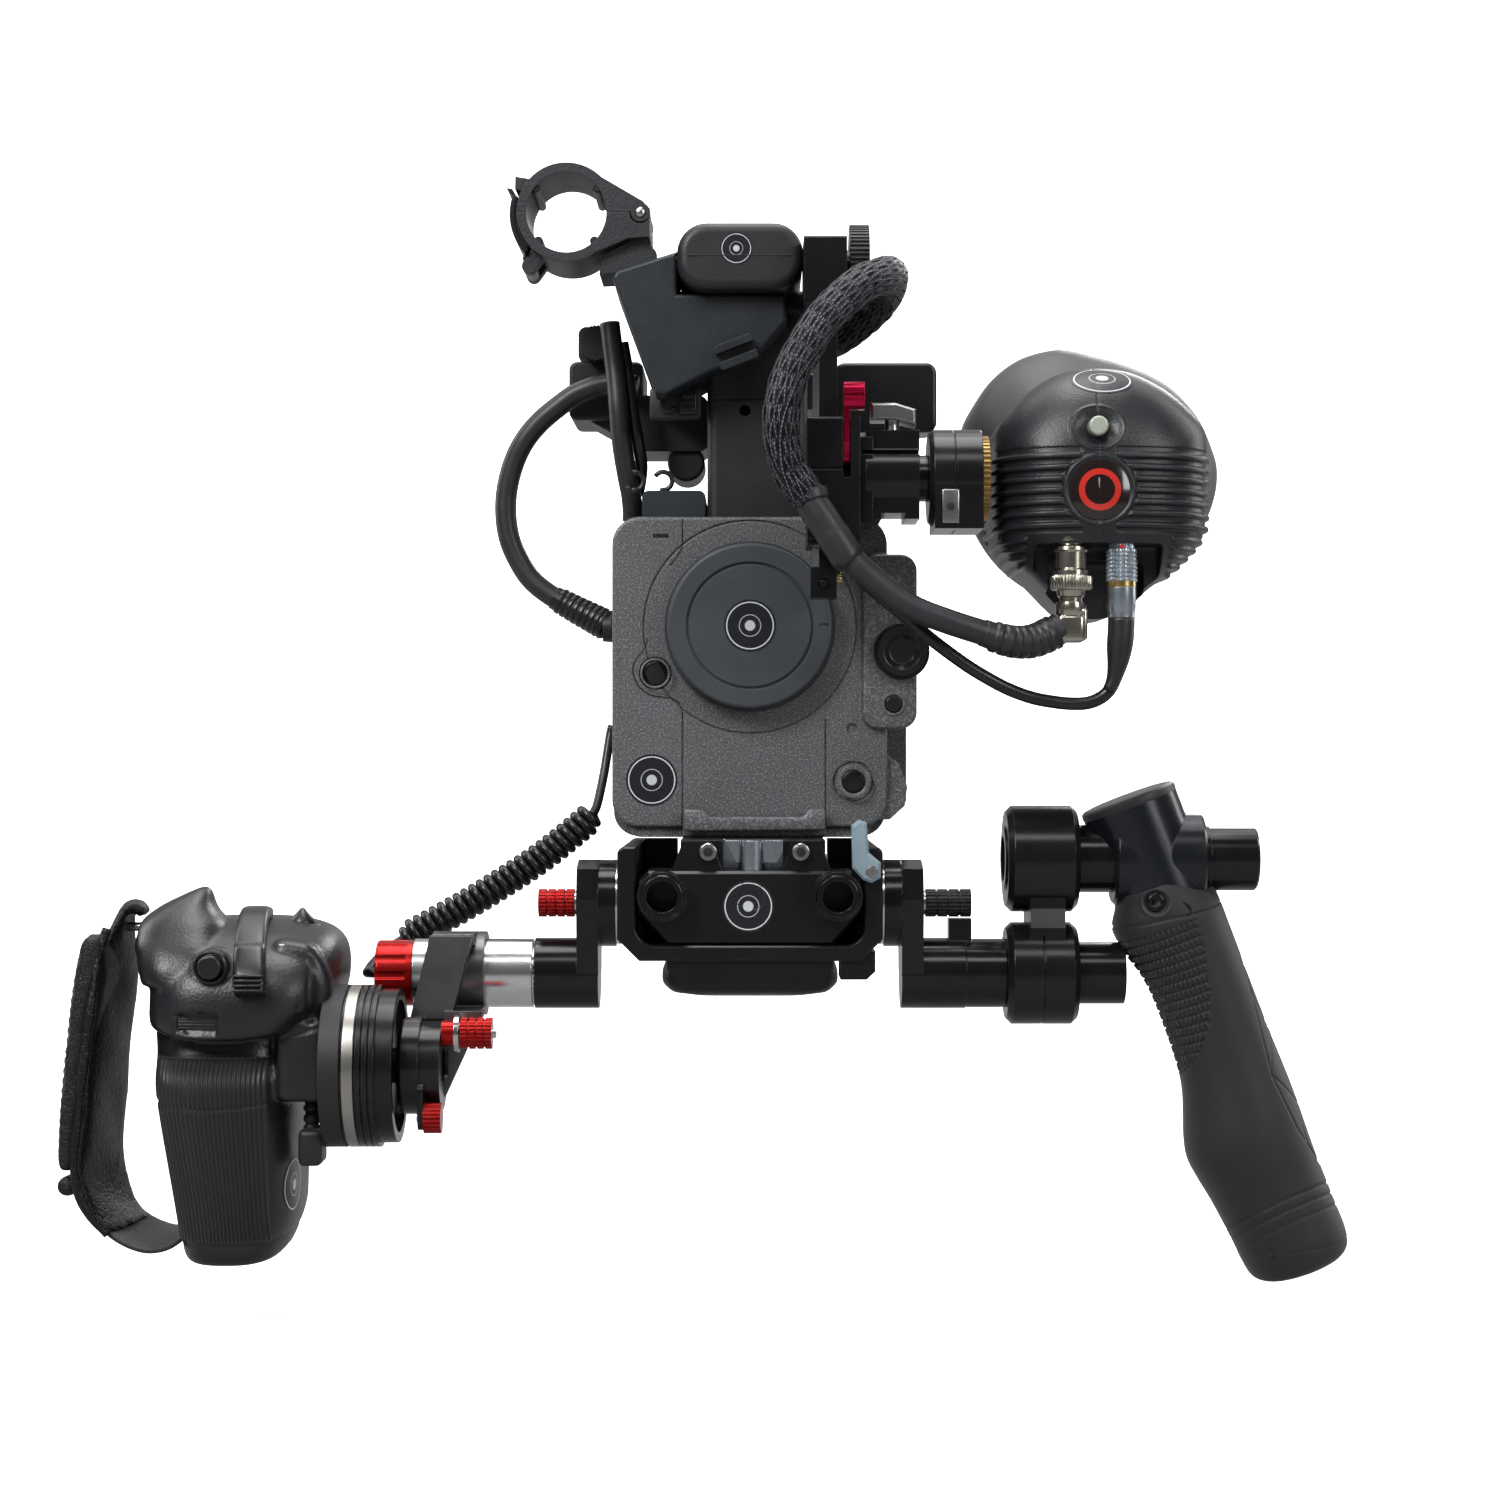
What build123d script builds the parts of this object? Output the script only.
from build123d import *
import math
import os

os.makedirs("parts", exist_ok=True)

# Cinema camera shoulder rig, in millimetres. -Y is forward and +Z is up. +X is to
# the right of a viewer facing the front of the rig, which is the eyepiece side;
# left and right in names follow that view. Y = 0 is the front face of the camera
# body. The origin is the mouth of the tripod socket in the underside rail.
# Each function at or below BASE that is listed in PIECES builds one STEP file.

# ---- driving dimensions ------------------------------------------------
# Axes along X are held as (y, z), axes along Y as (x, z), axes along Z as (x, y).
ROD_R = 7.5
ROD_HOLE_R = ROD_R + 0.05
ROD_X = 30.0                      # half of the rod spacing
ROD_Z = 31.0
ROD_Y0, ROD_Y1 = -48.0, 150.0
ROD_THREAD_R = 5.35               # M12 x 1.75 minor radius
ROD_THREAD_DEPTH = 24.0
SOCKET_R, SOCKET_DEPTH = 3.97, 12.0   # 3/8-16 tap drill
FRAME_HW, FRAME_WALL = 45.5, 6.4  # half width, side wall
FRAME_Z0, FRAME_FLOOR, FRAME_TOP = 8.7, 14.0, 47.8
FRAME_Y0, FRAME_Y1 = -42.0, 60.0
RISER_Z0 = 39.5
RISER_SCREW_X, RISER_SCREW_Z = (-14.4, 17.5), 46
LEVER_AXIS = (41.6, 39.5)
PIVOT = (-20.0, 27.5)             # rosette pivots on both sides of the frame
LOWER_TUBE = (PIVOT[0], 3.0)
UPPER_TUBE = (PIVOT[0], 43.0)     # right arm only
CAM_X0, CAM_X1 = -49.3, 49.0
CAM_Z0, CAM_Z1 = 49.8, 164.4
CAM_FRONT_DEPTH, CAM_DEPTH = 14.0, 110.0
LENS_AXIS = (0, 125.0)
THROAT_R = 23.0
GRIP_AXIS = (-50.0, -26.0)        # left grip rosette
TILT_AXIS = (-30.0, 175.0)        # eyepiece tilt


# ---- helpers -----------------------------------------------------------
def box(x0, x1, y0, y1, z0, z1):
    return Solid.make_box(x1 - x0, y1 - y0, z1 - z0, Plane(origin=(x0, y0, z0)))


def cyl_x(centre, radius, x0, x1):
    plane = Plane(origin=(x0, *centre), z_dir=(1, 0, 0))
    return Solid.make_cylinder(radius, x1 - x0, plane)


def cyl_y(centre, radius, y0, y1):
    plane = Plane(origin=(centre[0], y0, centre[1]), z_dir=(0, 1, 0))
    return Solid.make_cylinder(radius, y1 - y0, plane)


def cyl_z(centre, radius, z0, z1):
    return Solid.make_cylinder(radius, z1 - z0, Plane(origin=(*centre, z0), z_dir=(0, 0, 1)))


def cone(start, end, start_r, end_r):
    start, end = Vector(*start), Vector(*end)
    line = end - start
    plane = Plane(origin=start, z_dir=line.normalized())
    return Solid.make_cone(start_r, end_r, line.length, plane)


def bar(start, end, radius):
    start, end = Vector(*start), Vector(*end)
    line = end - start
    return Solid.make_cylinder(radius, line.length, Plane(origin=start, z_dir=line.normalized()))


def prism(points, vector):
    face = Face(Wire.make_polygon([Vector(*p) for p in points], close=True))
    return Solid.extrude(face, Vector(*vector))


def prism_xz(points, y0, y1):
    return prism([(x, y0, z) for x, z in points], (0, y1 - y0, 0))


def prism_yz(points, x0, x1):
    return prism([(x0, y, z) for y, z in points], (x1 - x0, 0, 0))


def spline_face(points):
    return make_face(Spline(*points, periodic=True)).faces()[0]


def edges_along(shape, axis, wanted):
    """Edges parallel to an axis whose centre passes the test."""
    return [e for e in shape.edges().filter_by(axis) if wanted(e.center())]


def edges_at(shape, axis, position):
    """Edges lying wholly at one position on the axis named "X", "Y" or "Z"."""
    found = []
    for edge in shape.edges():
        bounds = edge.bounding_box()
        ends = getattr(bounds.min, axis), getattr(bounds.max, axis)
        if all(abs(end - position) < 0.02 for end in ends):
            found.append(edge)
    return found


def rounded(shape, radius, edges):
    # Guards against a fillet the kernel cannot build: the shape stays sharp.
    try:
        return shape.fillet(radius, list(edges))
    except Exception:
        return shape


def bevelled(shape, length, edges):
    # Guards against a chamfer the kernel cannot build: the shape stays sharp.
    try:
        return shape.chamfer(length, None, list(edges))
    except Exception:
        return shape


def round_box(x0, x1, y0, y1, z0, z1, radius, axis):
    block = box(x0, x1, y0, y1, z0, z1)
    return rounded(block, radius, block.edges().filter_by(axis))


def one_solid(shape):
    """One solid out of a boolean result, dropping slivers under 1 mm3."""
    if isinstance(shape, Solid):
        return shape
    found = sorted(shape.solids(), key=lambda s: -s.volume)
    if len(found) > 1 and all(s.volume < 1.0 for s in found[1:]):
        found = found[:1]
    return found[0] if len(found) == 1 else Compound(list(found))


def fuse(shape, *others):
    for other in others:
        shape = shape + other
    return one_solid(shape)


def cut(shape, *others):
    for other in others:
        shape = shape - other
    return one_solid(shape)


def ring(cylinder, centre, outer_r, inner_r, start, end):
    return cut(cylinder(centre, outer_r, start, end),
               cylinder(centre, inner_r, start - 1, end + 1))


def grooves(shape, centre, outer_r, floor_r, stations, half_width=0.3):
    """Square grooves round an X axis, centred on each station."""
    for x in stations:
        shape = cut(shape, ring(cyl_x, centre, outer_r, floor_r, x - half_width, x + half_width))
    return shape


def around(centre, radius, count):
    """Points evenly spaced on a circle."""
    angles = [2 * math.pi * i / count for i in range(count)]
    return [(centre[0] + radius * math.cos(a), centre[1] + radius * math.sin(a))
            for a in angles]


def knurl(cylinder, centre, radius, start, end, count, depth=0.5):
    """A disc with shallow straight flutes on its rim."""
    flute_r = radius * math.sin(math.pi / count) * 0.62
    flutes = [cylinder(point, flute_r, start - 1, end + 1)
              for point in around(centre, radius + flute_r - depth, count)]
    return one_solid(cylinder(centre, radius, start, end) - flutes)


def cable(points, radius):
    path = Spline(*points)
    profile = Plane(path @ 0, z_dir=path % 0) * Circle(radius)
    return one_solid(sweep(profile, path=path))


def span(side, near, far):
    """X range between two distances out from the centre plane; side is -1 or 1."""
    return sorted((side * near, side * far))


def save(name, shapes):
    if not isinstance(shapes, list):
        shapes = [shapes]
    solids = [s for shape in shapes for s in shape.solids()]
    export_step(solids[0] if len(solids) == 1 else Compound(solids), f"parts/{name}.step")


# ==== BASE: U frame, rods, shoulder pad, riser ==========================
def base_frame():
    outer = box(-FRAME_HW, FRAME_HW, FRAME_Y0, FRAME_Y1, FRAME_Z0, FRAME_TOP)
    outer = bevelled(outer, 7.5, edges_along(outer, Axis.Y, lambda c: c.Z < FRAME_Z0 + 1))
    outer = rounded(outer, 2.5, edges_along(outer, Axis.Y, lambda c: c.Z > FRAME_TOP - 1))
    inner_hw = FRAME_HW - FRAME_WALL
    inner = box(-inner_hw, inner_hw, FRAME_Y0 - 1, FRAME_Y1 - 12, FRAME_FLOOR, FRAME_TOP + 10)
    inner = rounded(inner, 7.0, edges_along(inner, Axis.Y, lambda c: c.Z < FRAME_FLOOR + 1))
    frame = cut(outer, inner)
    rear_plate = round_box(-30, 30, FRAME_Y1 - 2, 108, FRAME_Z0, FRAME_FLOOR, 6, Axis.Z)
    rail_top = FRAME_Z0 + 0.2
    rail = prism_xz([(-24, 0), (24, 0), (28.5, 6), (28.5, rail_top),
                     (-28.5, rail_top), (-28.5, 6)], -40, 14)
    lug = prism_xz([(31, 2.2), (40, 2.2), (43, 5), (43, 12), (31, 12)], -40, -18)
    frame = fuse(frame, rear_plate, rail, lug)
    frame = cut(
        frame,
        cyl_z((0, 0), SOCKET_R, -1, SOCKET_DEPTH),
        cyl_y((-ROD_X, ROD_Z), ROD_HOLE_R, 40, 70),
        cyl_y((ROD_X, ROD_Z), ROD_HOLE_R, 40, 70),
        cyl_x(PIVOT, 5.0, -60, -30),
        cyl_x(PIVOT, 5.0, 30, 60),
        box(-14, 14, 46, 62, 22, 41),           # window in the rear wall
        box(-27.2, 29, 47, 61, RISER_Z0, 60),   # room for the riser
    )
    frame = bevelled(frame, 0.6, edges_at(frame, "Y", FRAME_Y0))
    # rosette rings on both side walls
    for side in (-1, 1):
        frame = fuse(frame, ring(cyl_x, PIVOT, 14.4, 6.0,
                                 *span(side, FRAME_HW - 0.5, FRAME_HW + 1.1)))
    # shoulder screw of the release lever
    return fuse(frame, cyl_y(LEVER_AXIS, 2.0, -46.8, -41.5), cyl_y(LEVER_AXIS, 3.2, -42.9, -41.8))


def rod_block():
    front_y = -40.0
    block = prism_xz([(-38.8, 26), (-28, 14), (28, 14), (38.8, 26),
                      (38.8, 36), (35, 39.5), (-35, 39.5), (-38.8, 36)], front_y, -14.0)
    block = bevelled(block, 1.0, edges_at(block, "Y", front_y))
    for x in (-ROD_X, ROD_X):
        block = fuse(block, cone((x, front_y - 7.5, ROD_Z), (x, front_y + 1, ROD_Z), 8.45, 8.75))
    for x in (-ROD_X, ROD_X):
        block = cut(block, cyl_y((x, ROD_Z), ROD_HOLE_R, -60, 0))
    # shallow round recess with a hair-thin pin left at its centre
    return cut(block, ring(cyl_y, (0, ROD_Z), 5.0, 0.01, front_y - 2, front_y + 0.4))


def rods():
    pair = []
    for x in (-ROD_X, ROD_X):
        axis = (x, ROD_Z)
        rod = cyl_y(axis, ROD_R, ROD_Y0, ROD_Y1)
        rod = bevelled(rod, 0.5, edges_at(rod, "Y", ROD_Y0) + edges_at(rod, "Y", ROD_Y1))
        rod = cut(rod, cyl_y(axis, ROD_THREAD_R, ROD_Y0 - 1, ROD_Y0 + ROD_THREAD_DEPTH),
                  cyl_y(axis, ROD_THREAD_R, ROD_Y1 - ROD_THREAD_DEPTH, ROD_Y1 + 1))
        pair.append(rod)
    return pair


def shoulder_pad():
    bottom = -9
    pad = round_box(-33, 33, 16, 116, bottom, FRAME_Z0, 9, Axis.Z)
    return rounded(pad, 5, edges_at(pad, "Z", bottom))


def camera_riser():
    riser = box(-24, 26, -34, 92, RISER_Z0, CAM_Z0)
    # front lobes: x range at the bottom, then at the top
    for low0, low1, high0, high1 in ((-27, -9.5, -23, -13.5), (11.5, 28, 14.5, 24)):
        riser = fuse(riser, prism_xz([(low0, RISER_Z0), (low1, RISER_Z0),
                                      (high1, CAM_Z0), (high0, CAM_Z0)], -38, -34))
    riser = cut(riser, box(-9.4, 11.4, -40, -20, 39, 60))
    centre = prism_xz([(-8.6, CAM_Z0), (13.6, CAM_Z0), (9.3, 42.2), (-4.6, 42.2)], -35, -20.001)
    centre = fuse(centre, cyl_z((0.6, -34), 4.6, RISER_Z0, CAM_Z0))
    centre = cut(centre, box(11.4, 20, -60, 0, 30, 60))
    riser = fuse(riser, centre)
    for x in RISER_SCREW_X:
        riser = cut(riser, cyl_y((x, RISER_SCREW_Z), 1.5, -39, -28))
    return riser


def riser_screws():
    screws = []
    for x in RISER_SCREW_X:
        axis = (x, RISER_SCREW_Z)
        screw = cyl_y(axis, 3.1, -40.2, -38)
        screw = bevelled(screw, 0.4, edges_at(screw, "Y", -40.2))
        screw = fuse(screw, cyl_y(axis, 1.5, -38, -29))
        screws.append(cut(screw, cyl_y(axis, 1.4, -41, -39)))
    return screws


def release_lever():
    lever = prism_xz([(34.9, 40.6), (34.6, 55.3), (37.0, 57.2), (39.8, 56.3), (40.6, 46.0),
                      (44.6, 42.6), (44.6, 37.4), (41.4, 35.6), (38.6, 36.6)], -46.3, -43.0)
    lever = bevelled(lever, 0.9, edges_at(lever, "Y", -46.3))
    return cut(lever, cyl_y(LEVER_AXIS, 2.05, -50, -40))


# ==== CAMERA ============================================================
WB_AXIS = (36.9, 69.75)
AUTO_AXIS = (51.1, 97.4)
IRIS_AXIS = (54.0, 116.0)
RELEASE_AXIS = (-33.8, 108.3)
PANEL_Y = -3.0                    # front of the raised control panel


def top_block(y0, y1):
    """Raised block on top of the camera, left of centre."""
    return round_box(-39, -16, y0, y1, CAM_Z1 - 0.5, 174.6, 2.5, Axis.Y)


def camera_front():
    back = CAM_FRONT_DEPTH
    plate = round_box(CAM_X0, CAM_X1, 0, back, CAM_Z0 + 3.5, CAM_Z1, 10, Axis.Y)
    centre_lip = prism_xz([(-24, CAM_Z0), (27, CAM_Z0), (27, 62), (-24, 62)], 0, back)
    wide_lip = round_box(-44.5, 44, 2.5, back, CAM_Z0, 70, 5.5, Axis.Y)
    front = fuse(plate, wide_lip, centre_lip)
    front = fuse(front, round_box(40, 59.5, PANEL_Y, back, 88.5, 150.8, 6, Axis.Y))
    bulge = prism_xz([(40, 56), (50, 56), (55.5, 61), (56.4, 68), (53.5, 76),
                      (49, 79.5), (40, 79.5)], 3.0, back)
    front = fuse(front, bulge)
    for y in (0, PANEL_Y):
        front = rounded(front, 1.2, [e for e in edges_at(front, "Y", y) if e.length > 4])
    # seams: two upright lines and a circle round the mount
    front = cut(front, box(-24.4, -23.8, -1, 0.6, CAM_Z0 - 1, 92),
                box(26.7, 27.3, -1, 0.6, CAM_Z0 - 1, 92))
    front = cut(front, ring(cyl_y, LENS_AXIS, 38.3, 37.7, -1, 0.6))
    front = cut(front, round_box(-34.7, -28.9, -1, 1.2, 156.6, 158.2, 0.7, Axis.Y))
    front = cut(front, cyl_y(LENS_AXIS, THROAT_R, -1, back + 1))
    # seats for the controls
    front = cut(front, cyl_y(WB_AXIS, 7.2, -1, 0.8), cyl_y(WB_AXIS, 4.15, -1, 8))
    front = cut(front, cyl_y(AUTO_AXIS, 3.1, -4, 5))
    front = cut(front, cyl_y(IRIS_AXIS, 9.0, -4, 6))
    front = cut(front, cyl_y((36.5, 88.6), 2.0, -1, 1.0))
    front = cut(front, cyl_y(RELEASE_AXIS, 5.9, -1, 7))
    front = fuse(front, ring(cyl_y, WB_AXIS, 6.6, 5.2, 0.2, 1.2))
    return fuse(front, top_block(10, 13.9))


def camera_body():
    y0, wall = CAM_FRONT_DEPTH, 3
    body = round_box(CAM_X0, CAM_X1, y0, CAM_DEPTH, CAM_Z0, CAM_Z1, 9, Axis.Y)
    body = rounded(body, 2.5, edges_at(body, "Y", CAM_DEPTH))
    body = cut(body, round_box(CAM_X0 + wall, CAM_X1 - wall, y0 - 1, CAM_DEPTH - 4,
                               CAM_Z0 + wall, CAM_Z1 - wall, 7, Axis.Y))
    body = fuse(body, round_box(CAM_X1 - 1, 57.5, 30, 98, 62, 150, 5, Axis.Y))
    body = fuse(body, top_block(y0, 58))
    # vent slots: four on the left side, two on top
    slot_width, slot_depth, slot_pitch = 3, 0.8, 7
    for i in range(4):
        y = 52 + slot_pitch * i
        body = cut(body, box(CAM_X0 - 1, CAM_X0 + slot_depth, y, y + slot_width, 74, 128))
    for i in range(2):
        y = 68 + slot_pitch * i
        body = cut(body, box(-46, 46, y, y + slot_width, CAM_Z1 - slot_depth, CAM_Z1 + 0.01))
    return cut(body, box(-30, 30, CAM_DEPTH - 6, CAM_DEPTH + 1, 62, 112))


def lens_mount():
    return ring(cyl_y, LENS_AXIS, 30.4, THROAT_R, PANEL_Y, 0)


def sensor_board():
    board = fuse(box(-22, 22, 16, 18, 108, 142), box(-34, 34, 18, 21, 84, 156),
                 box(-40, 40, 21, 24, 62, 100), box(-30, 30, 24, 60, 64, 68))
    standoffs = [cyl_y((x, z), 3, CAM_FRONT_DEPTH, 18.2) for z in (88, 152) for x in (-30, 30)]
    return fuse(board, *standoffs)


def battery():
    back = CAM_DEPTH + 34
    block = round_box(-29.5, 29.5, CAM_DEPTH - 5.9, back, 62.5, 111.5, 4, Axis.Y)
    return rounded(block, 2, edges_at(block, "Y", back))


def body_cap():
    radius = 29.4
    cap = cyl_y(LENS_AXIS, radius, -10, -3.05)
    cap = rounded(cap, 1.4, edges_at(cap, "Y", -10))
    cap = cut(cap, ring(cyl_y, LENS_AXIS, 22.6, 21.6, -11, -9.2))
    cap = one_solid(cap - [cyl_y(point, 0.7, -8.6, -3.6)
                           for point in around(LENS_AXIS, radius + 0.25, 72)])
    cap = cut(cap, box(24.8, 27.6, -11, -9.5, 124.5, 125.7))   # index mark
    return cut(cap, cyl_y(LENS_AXIS, 20.0, -5, -3))


def lens_release():
    button = round_box(-3.3, 3.3, -1.8, 3.0, -4.3, 4.3, 2.6, Axis.Y)
    button = rounded(button, 0.8, edges_at(button, "Y", -1.8))
    return button.rotate(Axis.Y, -22).translate(Vector(RELEASE_AXIS[0], 0, RELEASE_AXIS[1]))


def round_button(axis, radius, front, back, edge_r):
    button = cyl_y(axis, radius, front, back)
    return rounded(button, edge_r, edges_at(button, "Y", front))


def wb_button():
    return round_button(WB_AXIS, 4.0, -0.4, 4, 0.6)


def auto_button():
    return round_button(AUTO_AXIS, 2.9, -4.2, 2, 0.5)


def iris_dial():
    dial = knurl(cyl_y, IRIS_AXIS, 8.8, -7.5, -3.1, 40, 0.35)
    dial = fuse(dial, cyl_y(IRIS_AXIS, 4, -3.2, 4.5))
    x, z = IRIS_AXIS
    return cut(dial, cone((x, -7.6, z), (x, -5.6, z), 6.6, 4.4))


def focus_switch():
    return fuse(round_box(46.5, 57, -4.8, PANEL_Y, 132.8, 137.6, 1.2, Axis.Y),
                round_box(49.5, 53, -6.2, -4.5, 133.4, 137, 1.0, Axis.Y))


# ==== TOP HANDLE, MICROPHONE MODULE, XLR UNIT, MONITOR ==================
HANDLE_Z0 = 242
MONITOR_PIVOT = (67.0, 214.0)
MIC = (-65.0, 271.2)              # microphone clamp axis
MIC_BORE_R, MIC_RING_R = 14.2, 17.6
MIC_Y0, MIC_Y1 = -10.0, 26.0
HINGE = (-38.8, MIC[1])
LATCH = (-78.6, 253.2)
AUDIO_AXIS = (-57.0, 232.3)


def handle_post():
    post = round_box(-15.4, 20.7, 6, 60, CAM_Z1, HANDLE_Z0, 3.5, Axis.Z)
    post = cut(post, cyl_y((-1.8, 203), 2.0, 0, 20))
    seam = cut(box(-17, 22, 5, 61, 206.7, 207.3), box(-14.8, 20.1, 6.6, 59.4, 205, 209))
    post = cut(post, seam)
    return fuse(post, box(20.5, 24.5, 40, 74, 207.5, 220.5),
                cyl_x(MONITOR_PIVOT, 6.4, 20.7, 28.5), cyl_x(MONITOR_PIVOT, 2.0, 28, 31.5))


def handle_grip():
    grip = round_box(-25.6, 18.6, -20, 125, HANDLE_Z0, 266, 10.5, Axis.Y)
    grip = rounded(grip, 3.6, edges_at(grip, "Y", -20) + edges_at(grip, "Y", 125))
    return cut(grip, cyl_z((-3.5, 22), 2.55, 255, 270), cyl_z((-3.5, 82), 2.55, 255, 270))


def mic_module():
    front = [(-48.6, 247.9), (-47.2, 250.2), (-25.7, 257.0), (-25.7, 241.9), (12.3, 241.9),
             (13, 232.4), (3.5, 221.1), (-14.8, 214.1), (-29.9, 206.4), (-33.5, 207.1)]
    # the rear part shares the left side and stops short of the handle post
    rear = front[:4] + [(-15.5, 241.9), (-15.5, 214.5)] + front[-2:]
    module = prism_xz(front, -12, 5.9)
    module = fuse(module, prism_xz(rear, 5.9, 45))
    module = cut(module, round_box(-25.75, 25, -21, 60, 241.9, 280, 1, Axis.Y))
    module = rounded(module, 1.3, edges_at(module, "Y", -12))
    clip = round_box(-9, 5, -18, -11.9, -4.5, 4.5, 1, Axis.Y)
    clip = cut(clip, box(-10, 6, -19, -14, -1.6, 1.6))
    clip = clip.rotate(Axis.Y, -21).translate(Vector(-3.0, 0, 221.5))
    return fuse(module, clip)


def mic_bore():
    return cyl_y(MIC, MIC_BORE_R, MIC_Y0 - 1, MIC_Y1 + 1)


def mic_clamp_base():
    """Lower half of the clamp on its shoe, with hinge and latch pins."""
    split_z = 271.15
    base = cut(cyl_y(MIC, MIC_RING_R, MIC_Y0, MIC_Y1), box(-100, 0, -50, 60, split_z, 320))
    shoe = prism_xz([(-52.6, 256.5), (-38.2, 264.0), (-33.2, 257.8), (-33.5, 254.75),
                     (-47.4, 250.35), (-53.5, 250.0)], MIC_Y0 + 4, MIC_Y1 - 4)
    ear = prism_xz([(-60, 254.8), (-43, 262.0), (-35.5, 262.5), (-35.5, 271.2),
                    (-60, 271.2)], MIC_Y0, MIC_Y1)
    ear = cut(ear, cyl_y(HINGE, 3.9, MIC_Y0 - 1, MIC_Y0 + 9),
              cyl_y(HINGE, 3.9, MIC_Y1 - 9, MIC_Y1 + 1))
    ear = cut(ear, box(-100, 0, -50, 60, split_z, 320))
    knuckle = cyl_y(HINGE, 3.4, MIC_Y0 + 9.2, MIC_Y1 - 9.2)
    base = fuse(base, ear, knuckle, shoe)
    base = cut(base, mic_bore())
    base = fuse(base, cyl_y(HINGE, 1.5, MIC_Y0 - 0.3, MIC_Y1 + 0.3))
    for y0, y1 in ((MIC_Y0 + 6, MIC_Y0 + 12), (MIC_Y1 - 12, MIC_Y1 - 6)):
        lug = prism_xz([(-77.8, 259.0), (-73.2, 256.2), (-76.2, 252.0), (-80.4, 254.8)], y0, y1)
        base = fuse(base, lug, cyl_y(LATCH, 2.6, y0, y1))
    base = fuse(base, cyl_y(LATCH, 1.2, MIC_Y0 + 6, MIC_Y1 - 6))
    return cut(base, mic_bore())


def mic_clamp_top():
    split_z, knuckle_len = 271.25, 8.8
    inner0, inner1 = MIC_Y0 + knuckle_len, MIC_Y1 - knuckle_len
    top = cut(cyl_y(MIC, MIC_RING_R, MIC_Y0, MIC_Y1), box(-100, 0, -50, 60, 200, split_z))
    ear = prism_xz([(-60, 288.0), (-38.0, 275.2), (-35.4, 272.5), (-35.4, split_z),
                    (-60, split_z)], MIC_Y0, MIC_Y1)
    ear = cut(ear, cyl_y(HINGE, 3.7, inner0, inner1))
    top = fuse(top, ear, cyl_y(HINGE, 3.4, MIC_Y0, inner0), cyl_y(HINGE, 3.4, inner1, MIC_Y1))
    top = cut(top, mic_bore())
    top = cut(top, cyl_y(HINGE, 1.55, MIC_Y0 - 1, MIC_Y1 + 1))
    nub = prism_xz([(-83.6, 280.6), (-79.0, 279.2), (-77.0, 284.0), (-83.5, 285.0)],
                   MIC_Y0 + 6, MIC_Y1 - 6)
    return fuse(top, nub)


def mic_latch():
    """Latch band that follows the outside of the clamp ring."""
    def arc(radius, start, end, steps=14):
        angles = [math.radians(start + (end - start) * i / steps) for i in range(steps + 1)]
        return [(MIC[0] + radius * math.cos(a), MIC[1] + radius * math.sin(a)) for a in angles]

    inner0, inner1 = MIC_Y0 + 12.2, MIC_Y1 - 12.2
    band = prism_xz(arc(20.4, 160, 222) + arc(18.6, 222, 160), MIC_Y0 + 4, MIC_Y1 - 4)
    tip = prism_xz([(-84.0, 277.6), (-82.4, 277.2), (-84.8, 281.0), (-86.8, 281.4)],
                   MIC_Y0 + 8, MIC_Y1 - 8)
    knuckle = cyl_y(LATCH, 2.5, inner0, inner1)
    neck = prism_xz([(-80.0, 259.2), (-78.4, 257.8), (-76.6, 253.2), (-80.8, 253.4),
                     (-81.4, 257.4)], inner0, inner1)
    # clearance for the two lugs of the clamp base
    band = cut(band, cyl_y(LATCH, 3.4, MIC_Y0 + 2, MIC_Y0 + 12.15),
               cyl_y(LATCH, 3.4, MIC_Y1 - 12.15, MIC_Y1))
    for y0, y1 in ((MIC_Y0 + 5.8, MIC_Y0 + 12.15), (MIC_Y1 - 12.15, MIC_Y1 - 5.8)):
        band = cut(band, prism_xz([(-77.6, 259.4), (-73.0, 256.2), (-76.2, 251.0),
                                   (-81.0, 254.6), (-81.0, 256.4)], y0, y1))
    band = fuse(band, knuckle, neck, tip)
    return cut(band, cyl_y(LATCH, 1.25, MIC_Y0 - 1, MIC_Y1 + 1))


def xlr_unit():
    unit = fuse(
        round_box(-68, -40, 52, 92, 205, 227, 3, Axis.Y),
        round_box(-44, -15.5, 50, 88, 193, 214, 4, Axis.Y),
        prism_xz([(-62, 206), (-40, 206), (-32, 196), (-44, 196)], 56, 88),
        cyl_y((-24, 189), 7, 52, 80),
    )
    unit = rounded(unit, 1.2, [e for e in edges_at(unit, "Y", 52) if e.length > 8])
    dial_seat = round_box(-64.5, -49.5, 52.0, 72, 226.5, 240, 3, Axis.Y)
    return fuse(unit, cut(dial_seat, cyl_y(AUDIO_AXIS, 3.05, 48, 57)))


def audio_dial():
    dial = knurl(cyl_y, AUDIO_AXIS, 6.6, 40, 50, 28, 0.35)
    return fuse(dial, cyl_y(AUDIO_AXIS, 3.0, 49.5, 56))


def monitor():
    panel = round_box(32, 70.6, 58, 78, 201, 227.5, 4, Axis.Y)
    panel = rounded(panel, 1.5, edges_at(panel, "Y", 58))
    panel = cut(panel, box(33.9, 68.6, 76.5, 79, 203, 225.5))
    panel = fuse(panel, cyl_x(MONITOR_PIVOT, 5, 28.6, 33))
    return cut(panel, cyl_x(MONITOR_PIVOT, 2.05, 28, 31.9))


# ==== EVF BRACKET AND HEAD ==============================================
BRACKET_AXIS = (-16, 250.5)
CARRIAGE_LEVER_AXIS = (-38.0, 182.0)
ARM_LEVER_AXIS = (48.8, TILT_AXIS[0] - 8)
EVF_BUTTON_AXIS = (118, 190.8)
OPTIC_AXIS = (122, 170)


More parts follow.
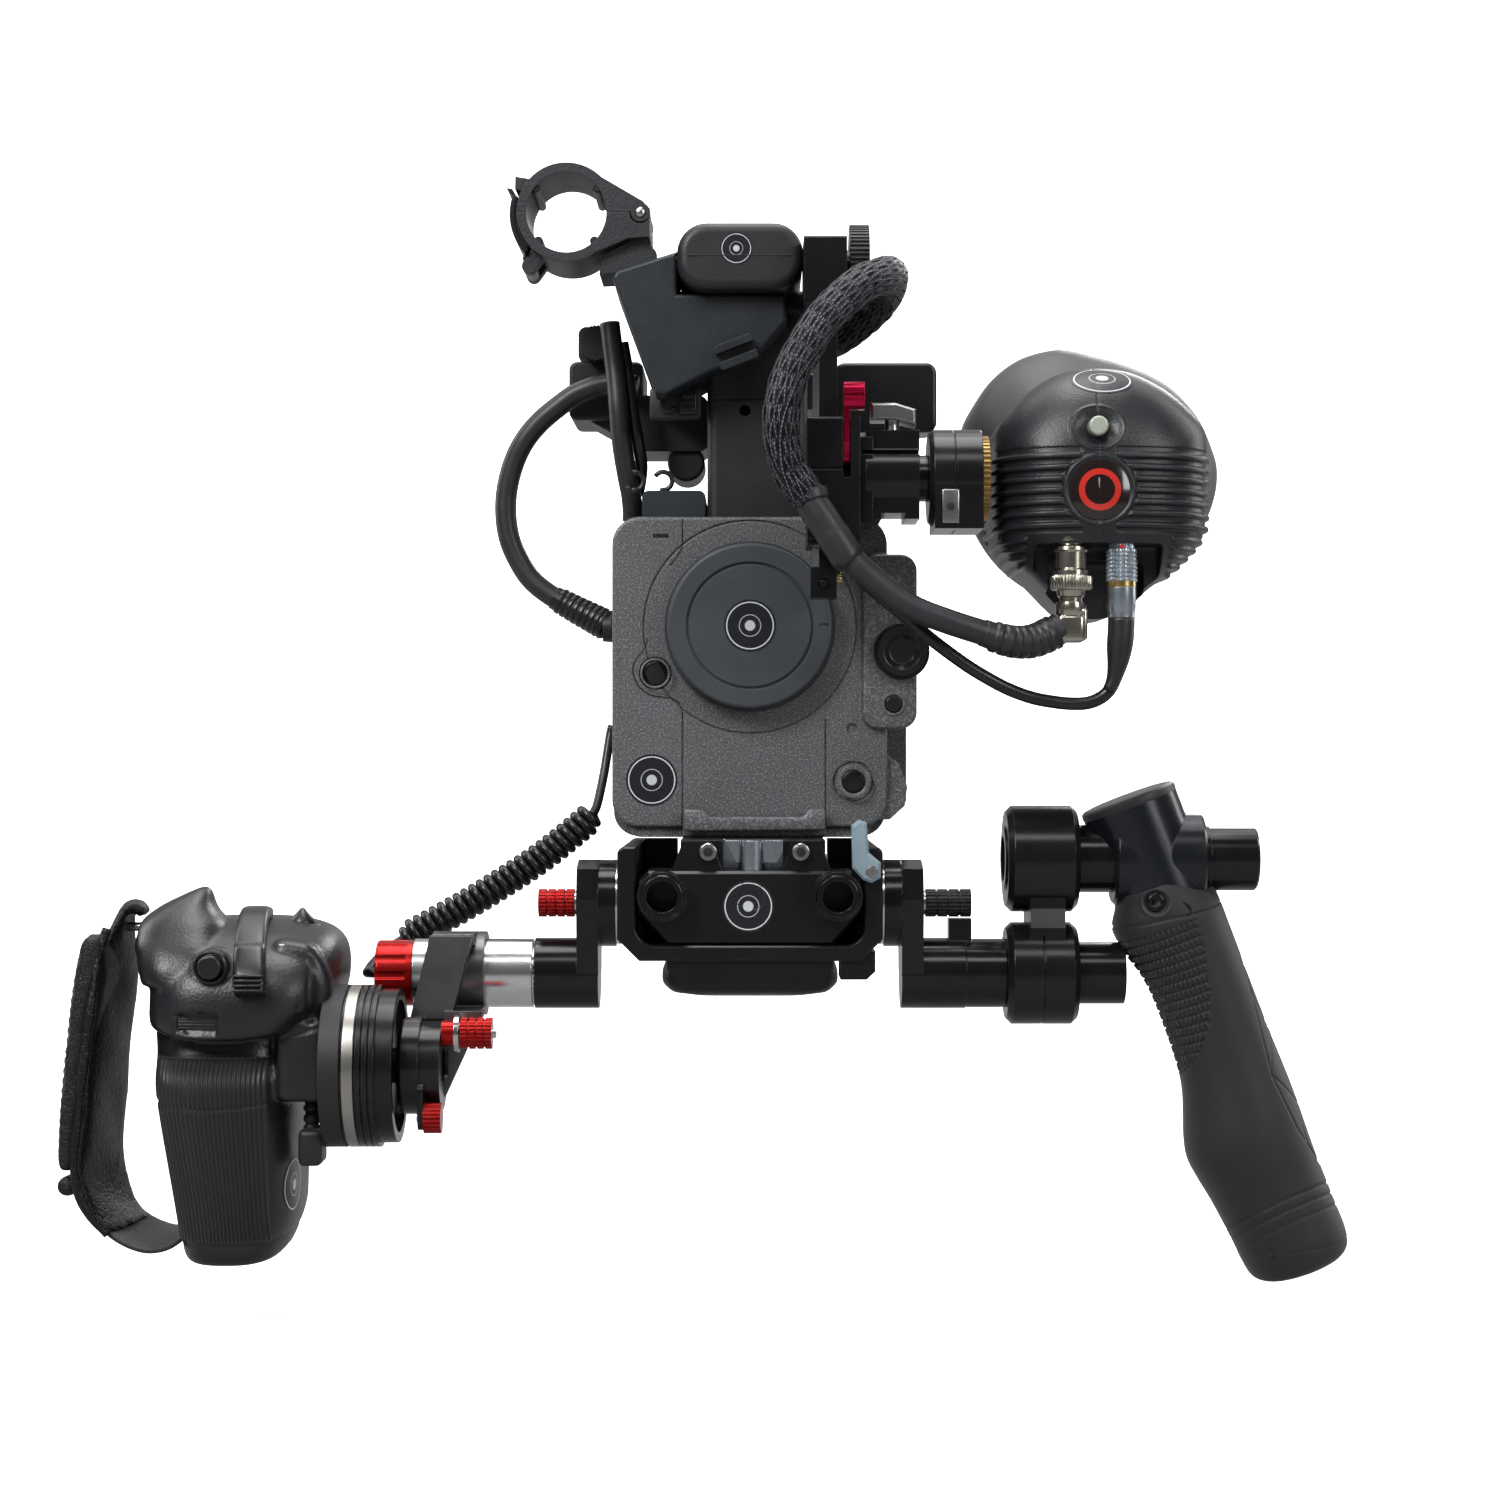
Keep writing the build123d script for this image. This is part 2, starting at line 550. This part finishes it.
def evf_rail():
    block = round_box(18.65, 33.6, -32, 2, 236, 259, 1.0, Axis.X)
    rail = box(21.7, 30.3, -31, -22, 141, 236.5)
    rail = bevelled(rail, 2.2, edges_along(rail, Axis.Z, lambda c: c.Y < -30 and c.X < 23))
    stop = box(21.0, 30.0, -32.5, -20, 133.6, 144)
    stop_screw = (25.5, 138.5)
    rail = fuse(block, rail, stop)
    rail = cut(rail, cyl_x(BRACKET_AXIS, 3.05, 25, 40))
    rail = cut(rail, cyl_y(stop_screw, 1.9, -34, -31))
    return fuse(rail, cyl_y(stop_screw, 1.5, -33.2, -31))


def bracket_knob():
    knob = knurl(cyl_x, BRACKET_AXIS, 14.8, 34.8, 41.6, 54, 0.45)
    return fuse(knob, cyl_x(BRACKET_AXIS, 3.0, 26, 35), cyl_x(BRACKET_AXIS, 6.0, 33.8, 35))


def evf_carriage():
    carriage = round_box(19.5, 37.6, -46, -14, 151, 194.8, 1.2, Axis.X)
    carriage = cut(carriage, box(21.65, 30.35, -31.05, -21.95, 140, 205))   # rail channel
    carriage = cut(carriage, box(18, 24, -29, -24, 140, 205))
    carriage = cut(carriage, box(31.75, 34.35, -60, -33.5, 174.0, 200))     # lever slot
    carriage = cut(carriage, box(18, 31.75, -47, -45.2, 176.6, 177.6),
                   box(18, 40, -47, -44.6, 150, 153))
    return fuse(carriage, cyl_x(CARRIAGE_LEVER_AXIS, 1.4, 31, 35))


def carriage_lever():
    x0, x1 = 31.95, 34.15
    lever = fuse(cyl_x(CARRIAGE_LEVER_AXIS, 4.0, x0, x1),
                 prism_yz([(-42.0, 182.0), (-44.5, 186.0), (-44.5, 200.0), (-39.5, 200.0),
                           (-34.2, 183.0)], x0, x1))
    tab = round_box(31.9, 39.0, -50.8, -41.0, 196.9, 206.3, 3.0, Axis.X)
    tab = cut(tab, box(31, 40, -52, -49.4, 201.0, 202.2))
    lever = fuse(lever, tab)
    return cut(lever, cyl_x(CARRIAGE_LEVER_AXIS, 1.45, 30, 40))


def evf_arm():
    """Clamp barrel that carries the eyepiece arm."""
    x0, x1, y = 39.6, 58, TILT_AXIS[0]
    arm = cyl_x(TILT_AXIS, 15.0, x0, x1)
    arm = fuse(arm, box(x0, x1, y - 12, y + 12, 175, 190.5))
    arm = fuse(arm, box(37.6, 42, y - 14, y + 14, 158.5, 188),
               box(x0, x1, y - 13, y + 13, 160, 170))
    arm = cut(arm, box(38, 60, -60, y - 8, 182.0, 183.6))
    arm = cut(arm, cyl_z(ARM_LEVER_AXIS, 2.55, 184, 200))
    arm = cut(arm, box(45, 53, -60, 0, 159, 162))
    arm = fuse(arm, cyl_x(TILT_AXIS, 8.0, 57.5, 61.4))
    return cut(arm, cyl_x(TILT_AXIS, 4.05, 50, 64))


def evf_arm_lever():
    front, back = ARM_LEVER_AXIS[1] - 6, ARM_LEVER_AXIS[1] + 6
    lever = prism_xz([(41.4, 199.6), (49.5, 199.6), (56.7, 197.4), (56.7, 191.9),
                      (49.5, 193.8), (41.4, 193.8)], front, back)
    lever = bevelled(lever, 0.7, edges_at(lever, "Y", front))
    return fuse(lever, cyl_z(ARM_LEVER_AXIS, 2.5, 185, 194.5))


def evf_knuckle():
    x0, x1 = 61.5, 79.7
    y, z = TILT_AXIS
    knuckle = cyl_x(TILT_AXIS, 16.8, x0, x1)
    knuckle = bevelled(knuckle, 1.5, edges_at(knuckle, "X", x0))
    knuckle = fuse(knuckle, box(x0 + 1.5, x1, y - 16.4, y + 14, z - 18.5, z - 2))
    knuckle = cut(knuckle, box(65.2, 71.5, y - 17.4, y - 15.4, z - 17, z - 5))
    knuckle = cut(knuckle, ring(cyl_x, TILT_AXIS, 20, 16.2, 70.1, 70.5))
    knuckle = fuse(knuckle, cyl_x(TILT_AXIS, 4.0, 51, x0 + 1))
    return fuse(knuckle, knurl(cyl_x, TILT_AXIS, 14.6, x1 - 0.2, 82.3, 48, 0.5))


# widest outline of the eyepiece head: (x, z)
SHELL_OUTLINE = [
    (82.5, 182.8), (88.6, 195), (99.8, 205.3), (110.3, 209.6), (119.8, 210.6),
    (131.9, 209.3), (143.1, 201.9), (151.7, 193.3), (155.2, 187.2), (155.8, 170),
    (155.4, 154.3), (149.2, 143.9), (137.1, 135.2), (131, 130.5), (118, 126.5),
    (107, 130.5), (99.8, 136.1), (89.4, 145.6), (82.5, 154.3), (82.3, 168),
]
SHELL_CENTRE = (119.0, 168.5)
# (scale of the outline, y)
SHELL_STATIONS = [(0.46, -52), (0.80, -47.5), (0.96, -38), (1.0, -24), (1.0, 18)]


def shell_section(scale, y):
    x_mid, z_mid = SHELL_CENTRE
    return spline_face([(x_mid + (x - x_mid) * scale, y, z_mid + (z - z_mid) * scale)
                        for x, z in SHELL_OUTLINE])


def evf_shell():
    shell = one_solid(loft([shell_section(*station) for station in SHELL_STATIONS], ruled=True))
    shell = cut(shell, box(70, 82.3, -60, 40, 120, 215))
    # recess for the plugs, then the button seat, then the inner cavity
    shell = cut(shell, round_box(97.2, 140, -60, -30, 120, 151, 2, Axis.Y))
    shell = cut(shell, cyl_y(EVF_BUTTON_AXIS, 4.6, -60, -44.5),
                cyl_y(EVF_BUTTON_AXIS, 3.4, -60, -42.0))
    shell = cut(shell, box(96, 142, -23, 12, 138, 196))
    barrel = cyl_y(OPTIC_AXIS, 30, 17.5, 40)
    barrel = rounded(barrel, 2, edges_at(barrel, "Y", 40))
    shell = fuse(shell, barrel)
    return cut(shell, cyl_y(OPTIC_AXIS, 22, 17.5, 41), cyl_y(OPTIC_AXIS, 19, 11, 19))


def evf_button():
    return round_button(EVF_BUTTON_AXIS, 3.3, -53.8, -43.4, 0.9)


def evf_optics():
    display = fuse(box(98, 140, 4, 6.5, 150, 190), box(104, 134, 2, 4, 156, 184),
                   box(97.9, 140.1, 6.5, 11.9, 146, 194))
    return [display, cyl_y(OPTIC_AXIS, 21.9, 24, 32)]


def evf_eyecup():
    # ellipse stations: (x, y, z, first radius, second radius)
    outer = [(122, 40, 171, 31, 32), (129, 62, 180, 44, 45), (130.7, 85, 184, 46.5, 47.5)]
    inner = [(122, 39.9, 170.5, 22, 22), (129, 63, 180, 39, 40), (130.7, 85.1, 184, 43.5, 44.5)]
    cup, hollow = [
        one_solid(loft([Plane(origin=(x, y, z), z_dir=(0, 1, 0)) * Ellipse(r0, r1)
                        for x, y, z, r0, r1 in stations]))
        for stations in (outer, inner)
    ]
    return cut(cup, hollow)


# ==== CABLES: centre lines are (x, y, z) ================================
SLEEVE_START, SLEEVE_END = (19.9, -52.6, 166.0), (33.0, -54, 146.0)


def braided_cable():
    braid = cable([
        (22.8, 37, 229), (31.0, 35, 232.5), (41.0, 26, 238.5), (48.4, 8, 244.5),
        (49.2, -14, 246.5), (48.0, -33, 245.5), (38.5, -48, 240), (27.5, -55.5, 229.5),
        (18.2, -58.5, 216), (12.2, -58.8, 202), (10.4, -57.5, 188), (13.4, -54.8, 176),
        (19.6, -52.6, 166.4),
    ], 6.2)
    # trim the end square, just clear of the sleeve
    start = Vector(*SLEEVE_START)
    along = (Vector(*SLEEVE_END) - start).normalized()
    return cut(braid, Solid.make_cylinder(14, 20, Plane(origin=start - along * 0.15, z_dir=along)))


def evf_cables():
    """Sleeve, the two cables below it and their plugs under the head."""
    cables = fuse(bar(SLEEVE_START, SLEEVE_END, 5.6), cable([
        (32.0, -53.9, 147.5), (48, -56, 133.5), (66, -57, 124.5), (82, -55, 119.0),
        (95, -48, 118.0), (105.4, -44.2, 122.0),
    ], 4.4))
    cables = fuse(cables, cable([
        (35.0, -53, 142.0), (50, -50, 128.5), (72, -47, 111), (88, -45, 101.8),
        (103, -44, 97.5), (115, -43, 96.8), (122.5, -43, 100.5), (125.9, -43.8, 110),
        (126.8, -44, 124.5),
    ], 2.2))
    thick_axis, thin_axis = (109.6, -44), (126.8, -44)
    thick_plug = fuse(cyl_z(thick_axis, 6.4, 133, 150.9), cyl_z(thick_axis, 4.8, 124.5, 134),
                      round_box(105.0, 114.2, -49, -39, 118.5, 127, 1.5, Axis.X))
    thin_plug = fuse(cyl_z(thin_axis, 5.0, 132, 150.9), cyl_z(thin_axis, 4.2, 124, 133))
    return fuse(cables, thick_plug, thin_plug)


def side_cables():
    boot = cone((-68.5, 45, 135.5), (-53.2, 41, 127.2), 5.2, 5.6)
    loop = fuse(cable([
        (-42.4, 41.5, 216.2), (-50, 42.5, 217.6), (-58, 43.5, 216.4), (-71, 44.5, 209.5),
        (-84.5, 46, 196), (-91.0, 48, 178), (-90.0, 48, 160), (-82.0, 47, 145),
        (-68.0, 45, 135.2),
    ], 4.0), boot)
    loop = fuse(loop, cyl_x((40.5, 126.4), 4.6, -54.5, -49.35))
    upright = cable([
        (-51.6, 30, 238), (-49.6, 29, 222), (-48.2, 27, 207), (-46.8, 28, 192),
        (-44.8, 30, 180), (-43.5, 33, 172), (-43.5, 36, 167.6),
    ], 3.6)
    return [loop, fuse(upright, cyl_z((-43.5, 36), 3.2, CAM_Z1 + 0.05, 168.2))]


def coil_cable():
    coil = cable([(-56.5, 14, 57.5), (-75, 12, 42.5), (-95, 10, 29.5), (-112, 9, 19.8),
                  (-124.5, 8, 13.0)], 6.0)
    lead = cable([(-51.3, 26, 86), (-53.2, 22, 73), (-55.4, 16.5, 61.5),
                  (-57.5, 13.8, 57.0)], 1.8)
    tail = cable([(-124.0, 8, 13.3), (-131.5, 4, 8.0), (-134.6, -6, 4.0),
                  (-135.0, -13, 2.6)], 2.0)
    return fuse(coil, lead, tail)


# ==== BOTH ARMS =========================================================
def elbow(side):
    """Rosette disc, drop plate and tube socket on one side of the frame."""
    y, z = PIVOT
    tube_z = LOWER_TUBE[1]
    disc = cyl_x(PIVOT, 15.2, *span(side, 46.65, 52.6))
    plate = prism_yz([(y - 15.2, z + 2), (y - 12, z + 12.5), (y, z + 15.2), (y + 12, z + 12.5),
                      (y + 15.2, z + 2), (y + 12.2, tube_z), (y - 12.2, tube_z)],
                     *span(side, 52.5, 60.0))
    socket = cyl_x(LOWER_TUBE, 12.3, *span(side, 52.6, 75))
    body = fuse(disc, plate, socket)
    body = bevelled(body, 1.0, edges_at(body, "X", side * 60.0))
    body = fuse(body, cyl_x(PIVOT, 4.95, *span(side, 39.5, 47)))
    body = cut(body, cyl_x(PIVOT, 2.6, *span(side, 50, 62)))
    return cut(body, cyl_x(LOWER_TUBE, 10.0, *span(side, 58, 76)))


def lock_knob(side, tip):
    """Knurled cylinder with three grooves and a stem into the elbow."""
    root = 61.3
    x0, x1 = span(side, root, tip)
    knob = knurl(cyl_x, PIVOT, 4.9, x0, x1, 22, 0.3)
    knob = grooves(knob, PIVOT, 6, 4.4, [x0 + (x1 - x0) * i / 4 for i in (1, 2, 3)])
    knob = fuse(knob, cyl_x(PIVOT, 2.55, *span(side, 50.2, root + 0.2)))
    return fuse(knob, cyl_x(PIVOT, 4.2, *span(side, 60.05, root + 0.1)))


# ==== LEFT ARM ==========================================================
LONG_KNOB_AXIS = (-55.0, -14.6)
SHORT_KNOB_AXIS = (-62.6, -42.2)


def left_elbow():
    x = -75.1
    # radial notches in the socket's end face
    notches = [bar((x, *outer), (x, *inner), 0.55)
               for outer, inner in zip(around(LOWER_TUBE, 12.4, 40), around(LOWER_TUBE, 9.5, 40))]
    return one_solid(elbow(-1) - notches)


def left_tube():
    tube = fuse(cyl_x(LOWER_TUBE, 12.0, -117.0, -75.7), cyl_x(LOWER_TUBE, 9.95, -76, -59))
    return cut(tube, cyl_x(LOWER_TUBE, 4.05, -120, -100))


def left_end_knob():
    knob = cyl_x(LOWER_TUBE, 11.5, -130.2, -117.3)
    knob = rounded(knob, 1.0, edges_at(knob, "X", -130.2))
    knob = one_solid(knob - [cyl_x(point, 1.9, -131, -119.5)
                             for point in around(LOWER_TUBE, 12.6, 12)])
    return fuse(knob, cyl_x(LOWER_TUBE, 4.0, -117.5, -104))


def left_lock_knob():
    return lock_knob(-1, 73.9)


def left_bracket():
    """Ring round the tube, slanted arm and housing for the grip."""
    bore_r = 12.05
    bore = cyl_x(LOWER_TUBE, bore_r, -120, -80)
    clamp = ring(cyl_x, LOWER_TUBE, 14.6, bore_r, -110.5, -92.0)
    arm = prism_xz([(-109.5, 17.4), (-95.0, 17.4), (-103.0, -14), (-117.0, -14)], -34, -43)
    arm = cut(arm, bore)
    bridge = cut(box(-109.5, -95.2, -36, -20, 13.9, 17.6), bore)
    housing = cyl_x(GRIP_AXIS, 15.0, -111.0, -104.0)
    collar = cyl_x(GRIP_AXIS, 16.4, -118.3, -111.0)
    collar = bevelled(collar, 1.5, edges_at(collar, "X", -118.3))
    bracket = fuse(clamp, bridge, arm, housing, collar)
    gusset = prism_xz([(-104.2, -8), (-90.5, -8), (-104.2, -38)], -41, -46)
    gusset = fuse(gusset, box(-104.2, -92, -45.9, -30, -11.2, -8))
    bracket = fuse(bracket, gusset)
    lug = box(-111.0, -109.2, -66.5, -50, -46.2, -30)
    lug = rounded(lug, 3.5, edges_along(lug, Axis.X, lambda c: c.Z < -44 or c.Y < -66))
    bracket = fuse(bracket, lug)
    bracket = cut(bracket, cyl_x(GRIP_AXIS, 6.05, -119, -103))
    return cut(bracket, cyl_x(LONG_KNOB_AXIS, 1.65, -108, -103),
               cyl_x(SHORT_KNOB_AXIS, 1.55, -112, -108))


def bracket_knob_long():
    axis = LONG_KNOB_AXIS
    knob = knurl(cyl_x, axis, 5.3, -97.5, -86.9, 24, 0.3)
    knob = grooves(knob, axis, 7, 4.7, (-94.9, -92.2, -89.5))
    return fuse(knob, cyl_x(axis, 6.4, -99.6, -97.9), cyl_x(axis, 1.6, -87, -85.6),
                cyl_x(axis, 4.4, -103.9, -97.3), cyl_x(axis, 1.6, -107.5, -103))


def bracket_knob_short():
    knob = knurl(cyl_x, SHORT_KNOB_AXIS, 5.1, -109.1, -103.2, 22, 0.3)
    return fuse(knob, cyl_x(SHORT_KNOB_AXIS, 1.5, -111.6, -108.5))


# ---- left grip ---------------------------------------------------------
# side outlines: (x, z)
HEAD = [
    (-208, 22.8), (-200.3, 29.3), (-192, 32.7), (-186, 34.5), (-183.9, 32.5),
    (-183.3, 27.9), (-180, 24.3), (-175, 22.9), (-158, 22.4), (-146, 20.1),
    (-140.6, 15.1), (-138.5, 2.2), (-142, -8), (-147.4, -17.1), (-152.5, -20.8),
    (-201.5, -20.8), (-202.1, -15.2), (-203.0, 3.0), (-206.7, 8.7), (-208.6, 12.3),
]
HANDLE = [
    (-203.0, -8), (-202.0, -16), (-201.2, -31.8), (-197.5, -57.5), (-193.8, -78.6),
    (-192, -90.6), (-189, -92.4), (-165, -92.4), (-158.9, -87.8), (-153.9, -76.8),
    (-153.4, -61.2), (-153.9, -43.3), (-152.5, -20.8), (-151, -8),
]
STRAP = [
    (-213, 28), (-210.8, 24), (-210.2, 14), (-211.5, 0), (-213.5, -20), (-215, -40),
    (-214.5, -58), (-212, -70), (-206, -78), (-199, -81), (-195.8, -79), (-194.3, -88.5),
    (-206, -92), (-220.4, -88), (-231, -76.5), (-237.5, -65.7), (-236.6, -42.8),
    (-235.2, -15.2), (-231.5, 9.9), (-226.9, 18.3), (-219, 25),
]
GRIP_BUTTON_AXIS = (-178.2, 9.3)
GRIP_DIAL_AXIS = (-70.5, -9.5)


def grip_rosette():
    rosette = cyl_x(GRIP_AXIS, 27.4, -142.8, -124.5)
    rosette = fuse(rosette, cyl_x(GRIP_AXIS, 26.0, -125, -118.6))
    rosette = grooves(rosette, GRIP_AXIS, 29, 26.4, [-135.4], 0.5)
    rosette = grooves(rosette, GRIP_AXIS, 29, 26.4, (-130.9, -128.6, -126.3), 0.35)
    rosette = cut(rosette, cyl_x(GRIP_AXIS, 22.5, -121.5, -118))
    return fuse(rosette, cyl_x(GRIP_AXIS, 6.0, -122, -106))


def grip_body():
    """Head and handle: side outlines crossed with rounded plans."""
    head = one_solid(prism_xz(HEAD, -80, 10)
                     & round_box(-209, -138, -77, 6, -40, 40, 17, Axis.Z))
    handle = one_solid(prism_xz(HANDLE, -80, 10)
                       & round_box(-203.4, -152.3, -75.6, 0.3, -100, -14.4, 15, Axis.Z))
    head = cut(head, cyl_y(GRIP_BUTTON_AXIS, 4.2, -90, -68))
    dial_y, dial_z = GRIP_DIAL_AXIS
    seat_r = 3.85
    head = cut(head, cyl_x(GRIP_DIAL_AXIS, seat_r, -190.0, -176.2))
    head = cut(head, box(-190.0, -176.2, -90, dial_y, dial_z - seat_r, dial_z + seat_r))
    head = cut(head, box(-142.8, -120, -90, 20, -80, 40))   # flat for the rosette
    grip = fuse(head, handle)
    grip = fuse(grip, cyl_x(GRIP_AXIS, 23.7, -153.7, -142.8))
    return fuse(grip, round_box(-154.7, -142.9, -66, -44, -71, -50, 3, Axis.X))


def grip_button():
    return round_button(GRIP_BUTTON_AXIS, 4.05, -78.8, -70, 1.0)


def grip_dial():
    return knurl(cyl_x, GRIP_DIAL_AXIS, 3.6, -189.3, -176.9, 20, 0.4)


def hand_strap():
    return prism_xz(STRAP, -58, -20)


# ==== RIGHT ARM =========================================================
UPPER_TUBE_R = 11.8
UPPER_BORE_R = UPPER_TUBE_R + 0.05
BARREL_TILT = math.radians(20.7)  # grip barrel, leaning out towards +X at the bottom
BARREL_ORIGIN_X = 140.0


def barrel_point(along, across=0.0, sideways=0.0):
    """Point down the barrel axis, offset across it in XZ and along Y."""
    sin, cos = math.sin(BARREL_TILT), math.cos(BARREL_TILT)
    y, z = UPPER_TUBE
    return (BARREL_ORIGIN_X + sin * along + cos * across, y + sideways,
            z - cos * along + sin * across)


def right_elbow():
    arm = elbow(1)
    arm = fuse(arm, cyl_x(LOWER_TUBE, 12.0, 74.9, 89.0), cyl_x(LOWER_TUBE, 10.8, 75, 130.5))
    arm = cut(arm, cyl_x(LOWER_TUBE, 7.5, 118, 133))
    y = PIVOT[0]
    return fuse(arm, box(69.3, 77.2, y - 4, y + 4, 12, 22.2))


def right_lock_knob():
    return lock_knob(1, 77.2)


def right_link():
    """Two collars, one per tube, joined by a web."""
    x0, x1 = 89.2, 114
    collars = []
    for axis, radius in ((LOWER_TUBE, 17.8), (UPPER_TUBE, 18.6)):
        collar = cyl_x(axis, radius, x0, x1)
        collars.append(bevelled(collar, 2.0, edges_at(collar, "X", x0) + edges_at(collar, "X", x1)))
    y = PIVOT[0]
    link = fuse(*collars, box(97, 109, y - 13, y + 13, LOWER_TUBE[1], UPPER_TUBE[1]))
    link = cut(link, cyl_x(LOWER_TUBE, 10.85, 80, 120), cyl_x(UPPER_TUBE, UPPER_BORE_R, 80, 120))
    return cut(link, ring(cyl_x, LOWER_TUBE, 19, 17.3, 101.3, 101.9))


def right_upper_tube():
    x0, x1 = 88.5, 176.9
    tube = cyl_x(UPPER_TUBE, UPPER_TUBE_R, x0, 160.0)
    tube = fuse(tube, cyl_x(UPPER_TUBE, 11.2, 159.9, x1))
    tube = bevelled(tube, 0.8, edges_at(tube, "X", x0) + edges_at(tube, "X", x1))
    tube = cut(tube, cyl_x(UPPER_TUBE, 8.6, 150, 178))
    return cut(tube, cyl_x(UPPER_TUBE, 8.0, 87, 110))


def right_t_clamp():
    """Sleeve round the upper tube, a barrel crossing it and the grip core."""
    y, z = UPPER_TUBE
    x0, x1 = 126.5, 158.0
    bore = cyl_x(UPPER_TUBE, UPPER_BORE_R, 100, 200)
    sleeve = cyl_x(UPPER_TUBE, 16.2, x0, x1)
    sleeve = bevelled(sleeve, 1.0, edges_at(sleeve, "X", x1) + edges_at(sleeve, "X", x0))
    clamp = fuse(bar(barrel_point(-22), barrel_point(24), 17.0), sleeve)
    clamp = cut(clamp, bore)
    clamp = cut(clamp, box(120, 170, y - 0.8, y + 0.8, z + 10, z + 30))   # split
    top_axis = (138.2, y - 9.5)
    top_screw = cut(cyl_z(top_axis, 2.6, 59.6, 66.0), cyl_z(top_axis, 1.3, 64.4, 67.0))
    screw_x, _, screw_z = barrel_point(19, 2.0)
    front_axis = (screw_x, screw_z)
    front_screw = cut(cyl_y(front_axis, 3.0, y - 18.6, y - 16.4),
                      cyl_y(front_axis, 1.5, y - 20, y - 17.6))
    core = bar(barrel_point(20.0), barrel_point(147.5), 10.9)
    core = cut(core, bar(barrel_point(18), barrel_point(140), 8.5), bore)
    return fuse(clamp, core, top_screw, front_screw)


# rubber grip sections: (distance along the barrel, across min, across max, half width in Y)
GRIP_STATIONS = [
    (24, -17.6, 17.0, 17), (32, -18.7, 17.1, 18), (46, -17.2, 16.9, 17),
    (66, -17.4, 16.5, 16.5), (84, -19.6, 16.0, 17.5), (97, -23.4, 16.2, 20),
    (107, -24.6, 16.5, 20.5), (119, -21.8, 16.8, 18), (133, -20.0, 17.2, 17.5),
    (147, -18.4, 18.6, 18), (153.5, -15.0, 15.5, 15),
]


def right_grip():
    angles = [2 * math.pi * i / 14 for i in range(14)]
    sections = []
    for along, low, high, half_y in GRIP_STATIONS:
        middle, half = (low + high) / 2, (high - low) / 2
        sections.append(spline_face([
            barrel_point(along, middle + half * math.cos(a), half_y * math.sin(a))
            for a in angles
        ]))
    return cut(one_solid(loft(sections)), bar(barrel_point(20), barrel_point(147.6), 10.95))


# ==== OUTPUT: each file is named after its function =====================
PIECES = [
    base_frame, rod_block, rods, shoulder_pad, camera_riser, riser_screws, release_lever,
    camera_front, camera_body, lens_mount, sensor_board, battery, body_cap, lens_release,
    wb_button, auto_button, iris_dial, focus_switch,
    handle_post, handle_grip, mic_module, mic_clamp_base, mic_clamp_top, mic_latch,
    xlr_unit, audio_dial, monitor,
    evf_rail, bracket_knob, evf_carriage, carriage_lever, evf_arm, evf_arm_lever,
    evf_knuckle, evf_shell, evf_button, evf_optics, evf_eyecup,
    braided_cable, evf_cables, side_cables, coil_cable,
    left_elbow, left_tube, left_end_knob, left_lock_knob, left_bracket,
    bracket_knob_long, bracket_knob_short,
    grip_rosette, grip_body, grip_button, grip_dial, hand_strap,
    right_elbow, right_lock_knob, right_link, right_upper_tube, right_t_clamp, right_grip,
]
for piece in PIECES:
    save(piece.__name__, piece())
